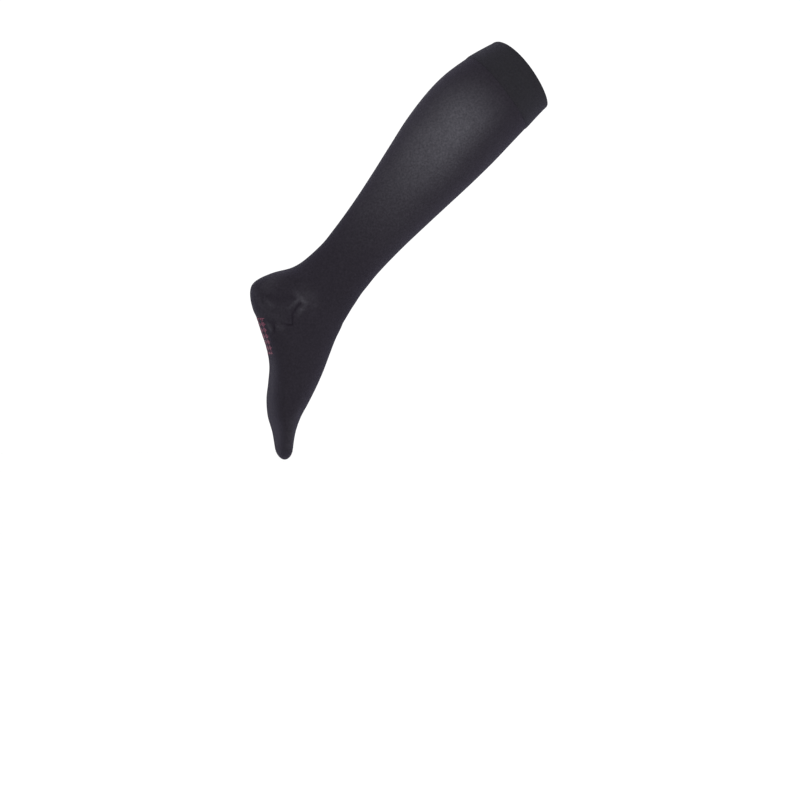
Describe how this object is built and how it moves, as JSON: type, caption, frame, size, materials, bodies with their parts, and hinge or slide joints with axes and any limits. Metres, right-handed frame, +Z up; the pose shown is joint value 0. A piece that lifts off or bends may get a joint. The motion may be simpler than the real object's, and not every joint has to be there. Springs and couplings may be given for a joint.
{
  "type": "compression stocking",
  "caption": "Knee-high compression stocking in its worn form: hollow knitted tube with a doubled top band, heel pocket, foot bent downwards and closed toe",
  "frame": {"origin": "centre of the mouth, the open top edge of the band below the knee", "axes": "+Z up; the knee side of the leg is +X, and the leg runs down from the mouth towards -X; the foot points down; the two sides of the XZ plane are alike"},
  "size_m": [0.3658, 0.1098, 0.5065],
  "materials": {
    "leg_knit": "fine black plain knit of nylon and elastane, a soft dull sheen on the fullest part",
    "band_knit": "doubled black knit, matt and a little darker than the leg",
    "heel_knit": "denser black knit, matt",
    "toe_knit": "denser black knit, matt"
  },
  "bodies": {
    "root": {"top_band": "band_knit", "leg_calf": "leg_knit", "leg_shin": "leg_knit", "leg_ankle": "leg_knit", "heel_pocket": "heel_knit", "foot": "leg_knit", "toe_cap": "toe_knit"}
  },
  "joints": []
}
